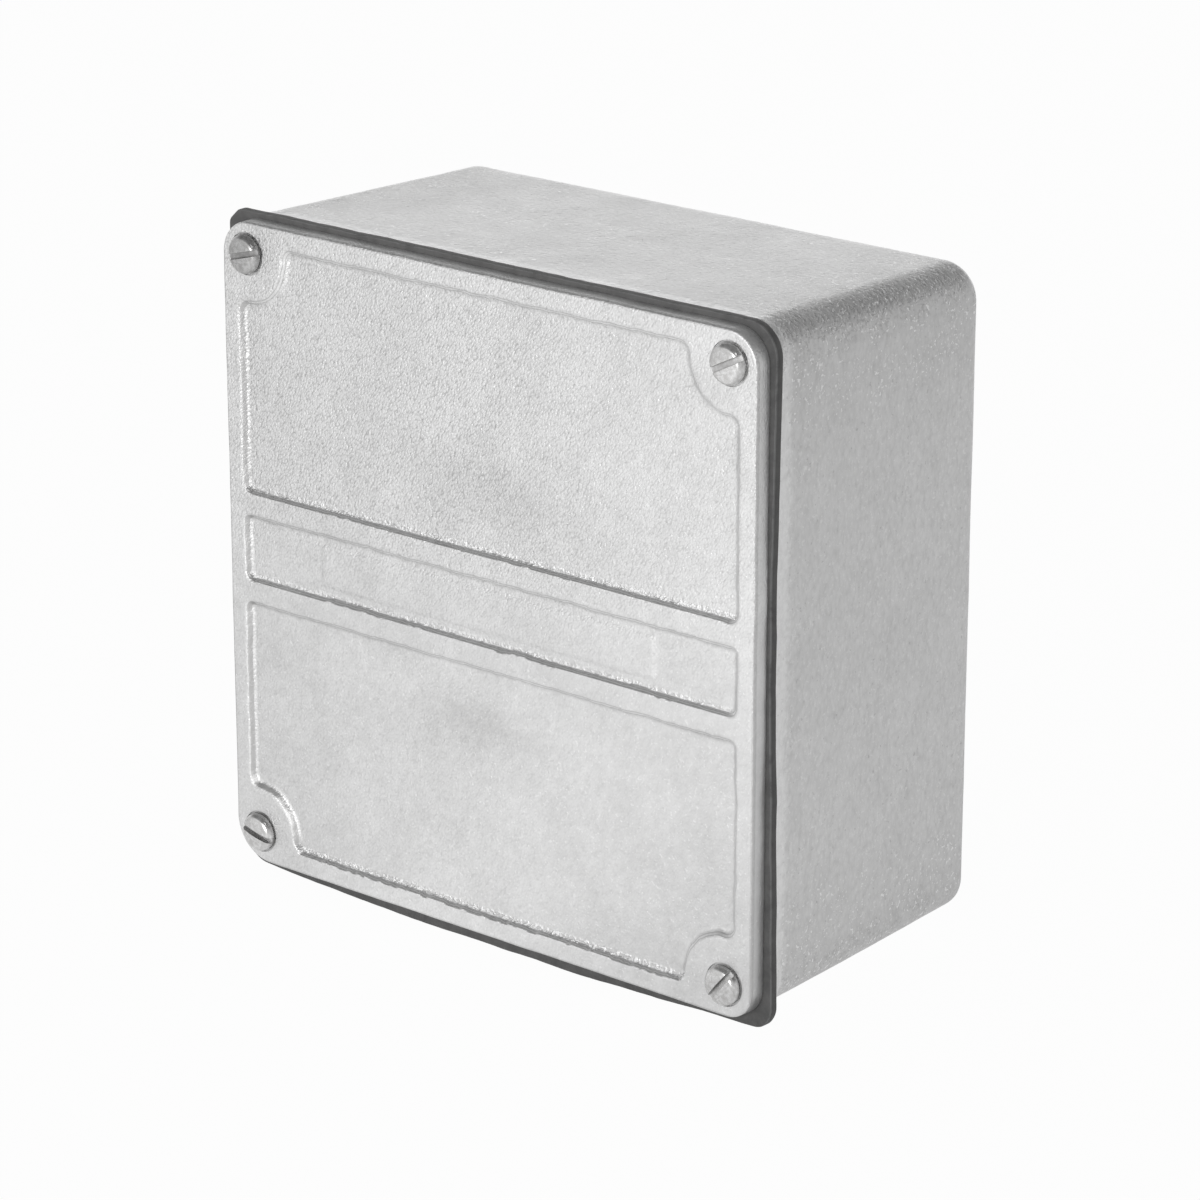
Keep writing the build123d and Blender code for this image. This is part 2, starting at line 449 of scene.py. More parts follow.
def reach(angles, field):
    """How far a closed outline lies from the centre in each direction, found by halving."""
    near = np.zeros_like(angles)
    far = np.full_like(angles, FARTHEST)
    for _ in range(HALVINGS):
        middle = (near + far) / 2
        inside = field(middle * np.cos(angles), middle * np.sin(angles)) < 0
        near = np.where(inside, middle, near)
        far = np.where(inside, far, middle)
    return near


# %% [markdown]
# ## From rings to a mesh
# A cast shell is easiest to build as a pile of rings: each ring is the outline at one depth,
# and neighbouring rings are joined with four-sided faces. The rings use the same directions
# from the centre, close together near the corners where the outline turns.

# %% Rings


def directions():
    """Angles round the centre, close together at the corners."""
    side = np.radians(np.linspace(-38, 38, 72, endpoint=False))
    corner = np.radians(np.linspace(38, 52, 44, endpoint=False))
    quarter = np.concatenate([side, corner])
    return np.concatenate([quarter + k * math.pi / 2 for k in range(4)])


def ring(angles, field, depth):
    """One outline as points at the depth y."""
    r = reach(angles, field)
    return np.column_stack([r * np.cos(angles), np.full(len(r), depth), r * np.sin(angles)])


def away_from_centre(points):
    """The direction from the Y axis to each point."""
    length = np.hypot(points[:, 0], points[:, 2])[:, None]
    return points * (1, 0, 1) / length


def drawn_in(points, amount):
    """The same ring, nearer to the centre by an amount."""
    moved = points.copy()
    moved[:, ::2] *= 1 - amount / np.hypot(points[:, 0], points[:, 2])[:, None]
    return moved


def joined_rings(rings, capped=(True, True)):
    """Vertices and faces of rings joined one to the next, with flat caps if asked for."""
    count = len(rings[0])
    after = np.roll(np.arange(count), -1)
    faces = []
    for k in range(len(rings) - 1):
        for i, j in zip(range(count), after):
            faces.append((k * count + i, k * count + j, (k + 1) * count + j, (k + 1) * count + i))
    if capped[0]:
        faces.append(tuple(reversed(range(count))))
    if capped[1]:
        last = (len(rings) - 1) * count
        faces.append(tuple(range(last, last + count)))
    return np.vstack(rings), faces


# %% Meshes, cutting and dressing


def build(name, vertices, faces):
    """A mesh object from vertices and faces, with its faces turned outwards."""
    mesh = bpy.data.meshes.new(name)
    mesh.from_pydata([tuple(v) for v in vertices], [], faces)
    work = bmesh.new()
    work.from_mesh(mesh)
    bmesh.ops.recalc_face_normals(work, faces=work.faces)
    work.to_mesh(mesh)
    work.free()
    made = bpy.data.objects.new(name, mesh)
    bpy.context.scene.collection.objects.link(made)
    return made


def apply_modifiers(piece):
    """Replaces the piece's mesh by the result of its modifiers."""
    graph = bpy.context.evaluated_depsgraph_get()
    mesh = bpy.data.meshes.new_from_object(piece.evaluated_get(graph))
    piece.modifiers.clear()
    piece.data = mesh


def carve(piece, tool, operation="DIFFERENCE"):
    """Cuts the tool out of the piece, or joins it on, and removes the tool."""
    cut = piece.modifiers.new("cut", "BOOLEAN")
    cut.operation = operation
    cut.solver = "EXACT"
    cut.object = tool
    apply_modifiers(piece)
    bpy.data.objects.remove(tool)


def round_bar(name, centre, radius, near, far, count=64):
    """A plain round bar along Y, used as a drill or a boss, from depth near to depth far."""
    turn = np.linspace(0, 2 * math.pi, count, endpoint=False)
    rings = [
        np.column_stack([
            centre[0] + radius * np.cos(turn),
            np.full(count, y),
            centre[1] + radius * np.sin(turn),
        ])
        for y in (near, far)
    ]
    return build(name, *joined_rings(rings))


def dress(piece, body, finish, replaced, crease=35.0):
    """Gives a finished piece its shading, material and body, and hides the imported node it replaces."""
    for polygon in piece.data.polygons:
        polygon.use_smooth = True
    piece.data.set_sharp_from_angle(angle=math.radians(crease))
    piece.data.materials.clear()
    piece.data.materials.append(finish)
    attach(piece, body)
    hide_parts(replaced)
    piece.data.calc_loop_triangles()
    print(piece.name, "has", len(piece.data.loop_triangles), "triangles")


# %% [markdown]
# ## The screw places
# The four lid screws stand on a square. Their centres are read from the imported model, and
# everything that goes round them, such as the notches, the posts and the holes, uses them.

# %% Screw places
CORNERS = ("top_left", "top_right", "bottom_left", "bottom_right")


def middle_of(node):
    """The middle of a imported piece's box."""
    low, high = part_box(node)
    return (low + high) / 2


screw_middles = {corner: middle_of("lid_screw_" + corner) for corner in CORNERS}
screw_out = screw_middles["top_right"].x
print("screws stand", round(screw_out / MM, 2), "mm from the middle each way")

# %% [markdown]
# ## The lid
# The lid is the face of the box. Its front is a grid of points pushed in where the three
# panels are sunk. How far a point is pushed depends on its distance from the panel's outline,
# through a smooth step, which gives the soft walls of a dipped casting. Some slow noise on
# that distance makes the walls wander a little, as they do on the real one, and the walls that
# face up are sharper than the others. The middle band carries a low plain pad. The grid lines
# are close together near the walls and wider apart in the plain areas.

# %% Lid sizes
FRAME_WIDTH = 6.3 * MM
BAR_WIDTH = 6.8 * MM
BAND_HALF = 10.35 * MM
PANEL_DEPTH = 1.6 * MM
PANEL_CORNER = 2.6 * MM
SOFT_WALL = 2.9 * MM
SHARP_WALL = 1.15 * MM
NOTCH_RADIUS = 14.2 * MM
NOTCH_SHOULDER = 4.0 * MM
PAD_HALF_WIDTH = 64.0 * MM
PAD_HALF_HEIGHT = 6.45 * MM
PAD_RISE = 0.3 * MM
LID_CORNER = 10.5 * MM
LID_EDGE = 0.65 * MM
LID_DRAFT = math.tan(math.radians(2.0))

lid_half = lid_high.x
lid_front = lid_low.y
lid_back = lid_high.y
panel_half = lid_half - FRAME_WIDTH
bar_top = BAND_HALF + BAR_WIDTH
large_middle = (panel_half + bar_top) / 2
large_half = (panel_half - bar_top) / 2
face_half = lid_half - LID_EDGE - (lid_back - lid_front) * LID_DRAFT
print("lid face half width in mm:", round(face_half / MM, 2))

# %% How far the face is sunk


def wall_run(across, up):
    """How wide a wall is: the walls that face up are sharper than the others."""
    near_foot = sum(
        1 - smooth_step((np.abs(up - line) - 2.5 * MM) / (1.5 * MM))
        for line in (bar_top, -BAND_HALF, -panel_half)
    )
    sharp = near_foot * smooth_step((panel_half - 2 * MM - np.abs(across)) / (1.5 * MM))
    return SOFT_WALL + (SHARP_WALL - SOFT_WALL) * sharp


def sunk(across, up, wander):
    """The depth of the lid's face below its frame, at each point."""
    large = rounded_box(across, np.abs(up) - large_middle, panel_half, large_half, PANEL_CORNER)
    from_screw = np.hypot(np.abs(across) - screw_out, np.abs(up) - screw_out)
    large = round_max(large, NOTCH_RADIUS - from_screw, NOTCH_SHOULDER)
    middle_band = rounded_box(across, up, panel_half, BAND_HALF, PANEL_CORNER)
    inside = -np.minimum(large, middle_band) + wander
    pad = -rounded_box(across, up, PAD_HALF_WIDTH, PAD_HALF_HEIGHT, 1 * MM)
    rise = PAD_RISE * smooth_step(pad / (0.8 * MM) + 0.5)
    return PANEL_DEPTH * smooth_step(inside / wall_run(across, up) + 0.25) - rise


# %% Grid lines


def grid_lines(stops):
    """Positions from one stop to the next; each stop is a place and the spacing after it."""
    lines = [stops[0][0]]
    for (start, spacing), (end, _) in zip(stops, stops[1:]):
        count = max(1, round((end - start) / spacing))
        lines.extend(start + (end - start) * (k + 1) / count for k in range(count))
    return np.array(lines)


def mirrored(lines):
    """The same lines on both sides of 0."""
    return np.concatenate([-lines[::-1], lines[1:]])


across_lines = mirrored(grid_lines([
    (0, 0.8 * MM), (72 * MM, 0.6 * MM), (panel_half - 5 * MM, 0.42 * MM), (face_half, 0),
]))
up_lines = mirrored(grid_lines([
    (0, 1.3 * MM), (BAND_HALF - 4 * MM, 0.42 * MM), (bar_top + 4 * MM, 1.3 * MM),
    (72 * MM, 0.6 * MM), (panel_half - 5 * MM, 0.45 * MM), (face_half, 0),
]))
print("grid of", len(across_lines), "by", len(up_lines), "lines")

# %% [markdown]
# The zinc on the lid has two faint smudges in the middle of the large panels. The grain is
# strongest at the upper left and weak on the side walls and on the walls of the panels. Zinc
# that drained down the panels froze in small lumps along the foot of the walls that face up;
# their lighter colour is a painted highlight. The walls on the left are painted dark in their
# middle, and the other walls get painted shade in thin dark outlines with a painted lighter
# middle. A ring of painted shade runs round each screw head, the upper right of the lid is
# painted a little lighter, and its rounded outer edge a little darker, painted shade against
# its highlight. All of these follow the depth of the face and the distances to its edges, so
# they stay in their places.

# %% Patches, feet and walls of the lid


def smudge(sheet, place, centre, size, strength):
    """A soft darker patch, worked into the grain."""
    away = sheet.vector("LENGTH", sheet.vector("DIVIDE", place - centre, size), output="Value")
    return (1 - sheet.band(away, 0.0, 1.0)) * -strength


def above(sheet, up, line):
    """1 in a narrow strip just above the foot of a wall that rises from a line on the lid."""
    foot = line + 0.8 * SHARP_WALL
    return sheet.band(up, foot - 0.3 * MM, foot) * (1 - sheet.band(up, foot + 0.2 * MM, foot + 1.8 * MM))


def wall_parts(sheet, outwards, depth):
    """1 inside the panels, 1 on their walls, and 1 in the middle of those walls."""
    panel = 1 - sheet.band(outwards, panel_half + 0.8 * MM, panel_half + 1.6 * MM)
    wall = sheet.band(depth, 0.3 * MM, 0.4 * MM) * (1 - sheet.band(depth, 1.05 * MM, 1.15 * MM))
    core = sheet.band(depth, 0.45 * MM, 0.6 * MM) * (1 - sheet.band(depth, 0.85 * MM, 1.0 * MM))
    return panel, wall * panel, core * panel


# %% The lid's finish


def lid_finish(sheet):
    """The lid's zinc, from the distances to its panels, walls and screws."""
    place = sheet.place()
    sideways = sheet.part(place, "X")
    across = sideways.maths("ABSOLUTE")
    up = sheet.part(place, "Z")
    depth = sheet.part(place, "Y") - lid_front
    outwards = across.maths("MAXIMUM", up.maths("ABSOLUTE"))
    frame_part = sheet.band(outwards, panel_half - MM, panel_half + MM)
    side = frame_part * sheet.band(depth, MM, 1.6 * MM)
    coarse = 0.45 + sheet.band(up, -15 * MM, 25 * MM) * 0.55 - side * 0.4
    panel, wall, core = wall_parts(sheet, outwards, depth)
    left = 1 - sheet.band(sideways, 2.5 * MM - panel_half, 3.5 * MM - panel_half)
    low_notch = 1 - sheet.band(sideways.maths("MAXIMUM", up), -77 * MM, -75 * MM)
    left = left.maths("MAXIMUM", low_notch)
    # Painted shade over the walls of the left panels.
    left_wall_shade = sheet.band(depth, 0.3 * MM, 0.45 * MM) * (1 - sheet.band(depth, 1.15 * MM, 1.35 * MM))
    coarse = coarse * (1.2 - sheet.band(sideways, -20 * MM, 80 * MM) * 0.5) * (1 - wall * 0.6)
    upper = smudge(sheet, place, (0, lid_front, 36 * MM), (38 * MM, 1, 18 * MM), 0.07)
    lower = smudge(sheet, place, (-4 * MM, lid_front, -36 * MM), (30 * MM, 1, 13 * MM), 0.08)
    # Painted light: the upper right of the lid is a little lighter.
    upper_right_light = sheet.band(sideways, 20 * MM, 95 * MM) * sheet.band(up, -25 * MM, 15 * MM) * 0.035
    feet = above(sheet, up, bar_top) + above(sheet, up, -BAND_HALF) * 0.6
    feet = feet * (1 - sheet.band(across, panel_half - 2 * MM, panel_half))
    notch_end = screw_out - NOTCH_RADIUS
    between = 1 - sheet.band(across, notch_end - 2 * MM, notch_end)
    feet = feet + above(sheet, up, -panel_half) * between * 1.3
    drops = sheet.band(sheet.grain(1.0 * MM, 1, 0.5, place), 0.44, 0.6)
    from_middle = sheet.node(
        "ShaderNodeCombineXYZ", None, [across - screw_out, up.maths("ABSOLUTE") - screw_out, 0.0]
    )
    from_screw = sheet.vector("LENGTH", from_middle, output="Value")
    # Painted shade: a dark ring round each screw head, where it meets the lid.
    screw_ring_shade = sheet.band(from_screw, 5.6 * MM, 6.0 * MM)
    screw_ring_shade = screw_ring_shade * (1 - sheet.band(from_screw, 6.5 * MM, 6.8 * MM))
    # Painted shade on the rounded outer edge, which damps its highlight.
    outer_edge_shade = sheet.band(outwards, face_half - 0.2 * MM, face_half + 0.1 * MM) * (1 - side)
    tone = upper + lower + upper_right_light + frame_part * 0.02 - screw_ring_shade * 0.15 - outer_edge_shade * 0.12
    # The lumps at the feet are bump with a painted highlight in their colour; then the painted shade on
    # the left walls.
    tone = tone + feet * (drops - 0.1) * 0.32 - left_wall_shade * panel * left * (0.22 + drops * 0.2)
    # Painted shade in thin dark outlines of the other walls, with a painted lighter middle.
    tone = tone + (core * 0.22 - wall * 0.15) * (1 - left)
    return zinc(sheet, LID_GRAIN, SLANTING, coarse, tone, feet * drops * 0.9)


lid_zinc = material("lid_zinc", lid_finish)

# %% [markdown]
# The grid is square, but the lid has round corners. In each corner the little square of grid
# beyond the corner's centre is squeezed into a quarter disc. The lower left corner came out of
# the mould a little rounder than the others, and the lower right one a little tighter. The
# rim then follows the grid's border: a quarter round, then the side wall, which widens
# towards the back as the mould did.

# %% Round corners


def corner_radius(across, up):
    """The lid's lower left corner is rounder than the others, and the lower right one tighter."""
    return LID_CORNER + np.where(up < 0, np.where(across < 0, 2.5 * MM, -1.5 * MM), 0)


def round_corners(across, up, half, radius):
    """Squeezes the corner squares of a square grid into quarter discs."""
    a = (np.abs(across) - (half - radius)) / radius
    b = (np.abs(up) - (half - radius)) / radius
    corner = (a > 0) & (b > 0)
    a_safe = np.where(corner, a, 0)
    b_safe = np.where(corner, b, 0)
    new_a = np.where(corner, a_safe * np.sqrt(1 - b_safe**2 / 2), a)
    new_b = np.where(corner, b_safe * np.sqrt(1 - a_safe**2 / 2), b)
    return (
        np.sign(across) * (half - radius + new_a * radius),
        np.sign(up) * (half - radius + new_b * radius),
    )


# %% The lid's face


def lid_face():
    """The front of the lid: each grid point at its place and pushed in to its depth."""
    across, up = np.meshgrid(across_lines, up_lines, indexing="ij")
    across, up = across.ravel(), up.ravel()
    across, up = round_corners(across, up, face_half, corner_radius(across, up) - LID_EDGE)
    flat = np.column_stack([across, np.full_like(across, lid_front), up])
    wander = 0.28 * MM * waves(flat, 9 * MM, 1) + 0.30 * MM * waves(flat, 2.4 * MM, 2)
    lowest = 1 - smooth_step((np.abs(up + panel_half) - 2.5 * MM) / (1.5 * MM))
    wander = wander + lowest * 0.5 * MM * waves(flat, 1.5 * MM, 10)
    swell = 0.16 * MM * waves(flat, 34 * MM, 3) + 0.05 * MM * waves(flat, 7 * MM, 4)
    depth = sunk(across, up, wander)
    return np.column_stack([across, lid_front + depth + swell + 0.1 * MM, up])


def grid_faces(columns, rows):
    """The faces of a grid of points, and the numbers of its border points in order."""

    def at(i, j):
        return i * rows + j

    faces = [
        (at(i, j), at(i + 1, j), at(i + 1, j + 1), at(i, j + 1))
        for i in range(columns - 1)
        for j in range(rows - 1)
    ]
    border = (
        [at(i, 0) for i in range(columns)]
        + [at(columns - 1, j) for j in range(1, rows)]
        + [at(i, rows - 1) for i in range(columns - 2, -1, -1)]
        + [at(0, j) for j in range(rows - 2, 0, -1)]
    )
    return faces, border


# %% The lid's rim


def rim_rings(edge):
    """Rings from the border of the face round the soft edge and down the side wall."""
    centre = face_half - (corner_radius(edge[:, 0], edge[:, 2]) - LID_EDGE)
    out_x = np.maximum(np.abs(edge[:, 0]) - centre, 0) * np.sign(edge[:, 0])
    out_z = np.maximum(np.abs(edge[:, 2]) - centre, 0) * np.sign(edge[:, 2])
    length = np.hypot(out_x, out_z)
    out = np.column_stack([out_x / length, np.zeros_like(length), out_z / length])
    ripple = 0.14 * MM * waves(edge, 11 * MM, 5)[:, None]
    start_depth = edge[:, 1]
    rings = []
    for turn in np.radians((18, 36, 54, 72, 90)):
        moved = edge + out * (LID_EDGE * math.sin(turn) + ripple * math.sin(turn))
        moved[:, 1] = start_depth + LID_EDGE * (1 - math.cos(turn))
        rings.append(moved)
    round_end = rings[-1]
    side_run = lid_back - (start_depth + LID_EDGE)
    for share in (0.33, 0.67, 0.97):
        moved = round_end + out * (side_run * share * LID_DRAFT)[:, None]
        moved[:, 1] = start_depth + LID_EDGE + side_run * share
        rings.append(moved)
    last = rings[-1] - out * 0.15 * MM
    last[:, 1] = lid_back
    return rings + [last]


# %% The lid's mesh


def lid_mesh():
    """The face, the rim as rings round its border, and the flat back."""
    face = lid_face()
    faces, border = grid_faces(len(across_lines), len(up_lines))
    rings = rim_rings(face[border])
    previous, total = border, len(face)
    for points in rings:
        current = list(range(total, total + len(points)))
        total += len(points)
        for k in range(len(border)):
            n = (k + 1) % len(border)
            faces.append((previous[k], previous[n], current[n], current[k]))
        previous = current
    faces.append(tuple(previous))
    return np.vstack([face, *rings]), faces


# %% Drill the lid and dress it
SPOT_RADIUS = 6.5 * MM
SPOT_DEPTH = 0.6 * MM
THROUGH_RADIUS = 3.3 * MM
cast_lid = build("cast_lid", *lid_mesh())
for corner, middle in screw_middles.items():
    spot = (middle.x, middle.z)
    carve(cast_lid, round_bar("spot_face", spot, SPOT_RADIUS, lid_front - MM, lid_front + SPOT_DEPTH))
    carve(cast_lid, round_bar("drill", spot, THROUGH_RADIUS, lid_front - MM, lid_back + MM))
dress(cast_lid, "cover", lid_zinc, "lid")

# %% [markdown]
# ## The cast shell
# The shell is one pile of rings: up the outside from the back, over the rim, and down the
# inside to the floor. The walls lean in by a small angle, the draft, so that the pattern
# could leave the sand. Inside, the four corner posts that hold the screws are part of the
# outline itself. The outside is pushed about by slow noise, up to a fifth of a millimetre. A
# flat ring lies just inside each flat end, because smooth shading would otherwise spread from
# the round edge over the whole end.

# %% Shell sizes
DRAFT = math.tan(math.radians(1.3))
WALL = 5.5 * MM
SCREW_INSET = 10.35 * MM
BODY_CORNER = 11.0 * MM
BACK_EDGE = 3.5 * MM
POST_RADIUS = 8.0 * MM
POST_ROOT = 3.0 * MM
FLOOR_FOOT = 2.0 * MM
RIM_EDGE = 0.8 * MM
INNER_EDGE = 0.3 * MM
FLAT_RING = 1.5 * MM
POST_HOLE_RADIUS = 3.05 * MM
POST_HOLE_DEPTH = 16.0 * MM

# %% The shell's outlines
body_half = screw_out + SCREW_INSET
rim = body_low.y
floor_depth = body_high.y - WALL
angles = directions()


def outer_field(inset, rounding=0.0):
    """The shell's outside, drawn in by an inset and by the rounding of an edge."""
    half = body_half - inset - rounding
    return lambda u, w: rounded_box(u, w, half, half, BODY_CORNER - rounding)


def cavity_field(inset):
    """The opening between the four posts, drawn in by an inset."""
    half = body_half - WALL - inset
    post = screw_out - POST_RADIUS - inset
    root = POST_ROOT - inset

    def field(u, w):
        square = np.maximum(np.abs(u) - half, np.abs(w) - half)
        posts = round_max(post - np.abs(u), post - np.abs(w), POST_RADIUS + inset)
        return round_max(square, -posts, root)

    return field


# %% The shell's rings


def shell_rings():
    """All rings of the shell; the first and the last only keep the flat ends flat."""
    back_inset = (body_high.y - rim) * DRAFT
    rings = [ring(angles, outer_field(back_inset, BACK_EDGE + FLAT_RING), body_high.y)]
    for turn in np.radians((0, 18, 36, 54, 72, 90)):
        rounding = BACK_EDGE * (1 - math.sin(turn))
        depth = body_high.y - BACK_EDGE * (1 - math.cos(turn))
        inset = (depth - rim) * DRAFT
        rings.append(ring(angles, outer_field(inset, rounding), depth))
    for depth in np.linspace(body_high.y - BACK_EDGE, rim + RIM_EDGE, 44)[1:]:
        rings.append(ring(angles, outer_field((depth - rim) * DRAFT), depth))
    for turn in np.radians((22.5, 45, 67.5, 90)):
        rounding = RIM_EDGE * (1 - math.cos(turn))
        rings.append(ring(angles, outer_field(0, rounding), rim + RIM_EDGE * (1 - math.sin(turn))))
    outside_count = len(rings)
    rings.append(ring(angles, cavity_field(-INNER_EDGE), rim))
    for depth in np.linspace(rim + INNER_EDGE, floor_depth - FLOOR_FOOT, 24):
        rings.append(ring(angles, cavity_field((depth - rim) * DRAFT), depth))
    for turn in np.radians((30, 60, 90)):
        depth = floor_depth - FLOOR_FOOT * (1 - math.sin(turn))
        inset = (floor_depth - rim) * DRAFT
        foot = ring(angles, cavity_field(inset), depth)
        rings.append(drawn_in(foot, FLOOR_FOOT * (1 - math.cos(turn)) * 0.5))
    rings.append(drawn_in(rings[-1], FLAT_RING))
    return rings, outside_count


# %% The shell's mesh


def shell_mesh():
    """The rings joined up, with slow noise on the outside ones."""
    rings, outside_count = shell_rings()
    for k, points in enumerate(rings):
        if not 0 < k < outside_count - 1:
            continue
        push = 0.16 * MM * waves(points, 26 * MM, 6) + 0.05 * MM * waves(points, 6 * MM, 7)
        rings[k] = points + away_from_centre(points) * push[:, None]
    return joined_rings(rings)


cast_shell = build("cast_shell", *shell_mesh())
for corner, middle in screw_middles.items():
    drill = round_bar("drill", (middle.x, middle.z), POST_HOLE_RADIUS, rim - MM, rim + POST_HOLE_DEPTH)
    carve(cast_shell, drill)

# %% [markdown]
# The boss for the earth screw stands on the floor of the box. It is joined on and drilled.

# %% The earth boss
BOSS_RADIUS = 7.0 * MM
EARTH_HOLE_RADIUS = 2.35 * MM
washer_low, washer_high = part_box("earth_washer")
earth_middle = (washer_low + washer_high) / 2
earth_spot = (earth_middle.x, earth_middle.z)
boss = round_bar("boss", earth_spot, BOSS_RADIUS, washer_high.y, floor_depth + MM)
carve(cast_shell, boss, "UNION")
screw_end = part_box("earth_screw")[1].y
drill = round_bar("drill", earth_spot, EARTH_HOLE_RADIUS, washer_high.y - MM, screw_end + MM)
carve(cast_shell, drill)
dress(cast_shell, "box", shell_zinc, "box_body")

# %% [markdown]
# ## The gasket
# The gasket was cut from sheet and pulled tight under the lid. It stands out all round, least
# in the middle of the sides and above, and most below, where it sags. Two small tables say by
# how much along the sides and the bottom, and slow noise makes the edge wander. One corner
# was cut straight across. Its front and back edges are slightly rounded, as rubber's are.

# %% How far the gasket stands out
TOP_OVERHANG = 1.1 * MM
SIDE_OVERHANG = (
    (-104, 2.4), (-77, 1.8), (-36, 1.4), (-9, 0.8), (18, 0.5), (45, 0.8), (72, 1.2), (104, 1.8),
)
BOTTOM_OVERHANG = (
    (-104, 1.4), (-90, 2.8), (-84, 3.3), (-66, 3.9), (-50, 4.5), (-25, 4.8), (25, 4.8), (52, 4.4),
    (68, 3.6), (80, 3.1), (104, 2.5),
)
GASKET_CORNER = 6.5 * MM
ROUNDER_CORNER = 10.0 * MM
CUT_CORNER = 4.0 * MM
CUT_ROUND = 0.8 * MM
SETBACK = 0.8 * MM
GASKET_EDGE = 0.4 * MM


def overhang(table, position):
    """How far the edge stands out at a position along it; the tables are in millimetres."""
    places, amounts = np.array(table).T * MM
    return np.interp(position, places, amounts)


def gasket_field(inset):
    """The outer edge: it sags below, and its top left corner is cut across."""
    top = body_half + TOP_OVERHANG
    cut_line = (body_half + SIDE_OVERHANG[-1][1] * MM + top - CUT_CORNER) / math.sqrt(2)

    def field(u, w):
        across = np.abs(u) - body_half - overhang(SIDE_OVERHANG, w)
        below = -w - body_half - overhang(BOTTOM_OVERHANG, u)
        others = np.where(w > 0, CUT_ROUND, GASKET_CORNER)
        rounding = np.where(u * w > 0, ROUNDER_CORNER, others)
        square = round_max(across, np.maximum(w - top, below), rounding)
        cut = (w - u) / math.sqrt(2) - cut_line
        return round_max(square, cut, CUT_ROUND) + inset

    return field


# %% The gasket's mesh


def gasket_rings():
    """The section of the sheet as rings: outwards in front, round the edge, and back inside."""
    front, back = gasket_low.y, gasket_high.y
    edge = GASKET_EDGE
    profile = [
        (edge, front), (0.3 * edge, front + 0.3 * edge), (0, front + edge),
        (0, (front + back) / 2), (0, back - edge), (0.3 * edge, back - 0.3 * edge), (edge, back),
    ]
    rings = [ring(angles, gasket_field(inset), depth) for inset, depth in profile]
    inner = cavity_field(-SETBACK)
    rings += [ring(angles, inner, back), ring(angles, inner, front)]
    return rings


def gasket_mesh():
    """The rings closed into a loop, with the outer edge pushed about."""
    rings = gasket_rings()
    outer_count = len(rings) - 2
    for k, points in enumerate(rings[:outer_count]):
        push = 0.35 * MM * waves(points * (1, 0, 1), 16 * MM, 8)
        push += 0.10 * MM * waves(points, 4 * MM, 9)
        rings[k] = points + away_from_centre(points) * push[:, None]
    rings.append(rings[0].copy())
    return joined_rings(rings, (False, False))


sheet_gasket = build("sheet_gasket", *gasket_mesh())
bpy.context.view_layer.update()
for corner, middle in screw_middles.items():
    hole = round_bar(
        "punch", (middle.x, middle.z), THROUGH_RADIUS, gasket_low.y - MM, gasket_high.y + MM
    )
    carve(sheet_gasket, hole)
dress(sheet_gasket, "cover", gasket_rubber, "gasket")

# %% [markdown]
# ## The lid screws
# Each screw is turned: a low round head with a rounded shoulder, a sawn slot, and a rolled
# thread. It is modelled on its own axis, with Z out of the lid, and then set at its corner,
# so one material can follow the lathe's rings on all four. The thread is a helix: the radius
# rises and falls once for each pitch along the axis and once for each turn round it.

# %% Screw sizes
HEAD_RADIUS = 6.0 * MM
HEAD_HEIGHT = 3.5 * MM
SHOULDER = 2.1 * MM
CROWN = 0.35 * MM
SLOT_DEPTH = 2.05 * MM
SHANK_LENGTH = 20.0 * MM
THREAD_TOP = 2.95 * MM
THREAD_ROOT = 2.45 * MM
PITCH = 1.0 * MM

# %% Head and thread


def turned_rings(profile, count):
    """Rings round the Z axis from a profile of radius and height."""
    turn = np.linspace(0, 2 * math.pi, count, endpoint=False)
    return [
        np.column_stack([r * np.cos(turn), r * np.sin(turn), np.full(count, h)])
        for r, h in profile
    ]


def head_profile(radius, height, shoulder, crown):
    """The head from its underside to its top: a side, a round shoulder and a low crown."""
    profile = [(radius - 0.15 * MM, 0), (radius, 0.15 * MM)]
    start = height - crown - shoulder
    for turn in np.radians(np.linspace(0, 84, 9)):
        profile.append((
            radius - shoulder * (1 - math.cos(turn)), start + shoulder * math.sin(turn)
        ))
    flat = radius - shoulder
    for share in (0.85, 0.6, 0.3, 0.04):
        profile.append((flat * share, height - crown * share**2))
    return profile


def thread_rings(length, top, root, pitch, count=40):
    """The threaded shank below the head; the thread fades out at both ends."""
    turn = np.linspace(0, 2 * math.pi, count, endpoint=False)
    rings = []
    for h in np.arange(0.2 * MM, length, pitch / 8):
        phase = (h / pitch + turn / (2 * math.pi)) % 1
        tooth = np.clip(1.25 - 2.5 * np.abs(phase - 0.5), 0, 1)
        fade = min(1, h / (1.5 * pitch), (length - h) / (1.2 * pitch))
        r = root + (top - root) * tooth * fade - 0.5 * MM * max(0, 1 - (length - h) / (0.8 * MM))
        rings.append(np.column_stack([r * np.cos(turn), r * np.sin(turn), np.full(count, -h)]))
    return rings


# %% A slotted screw


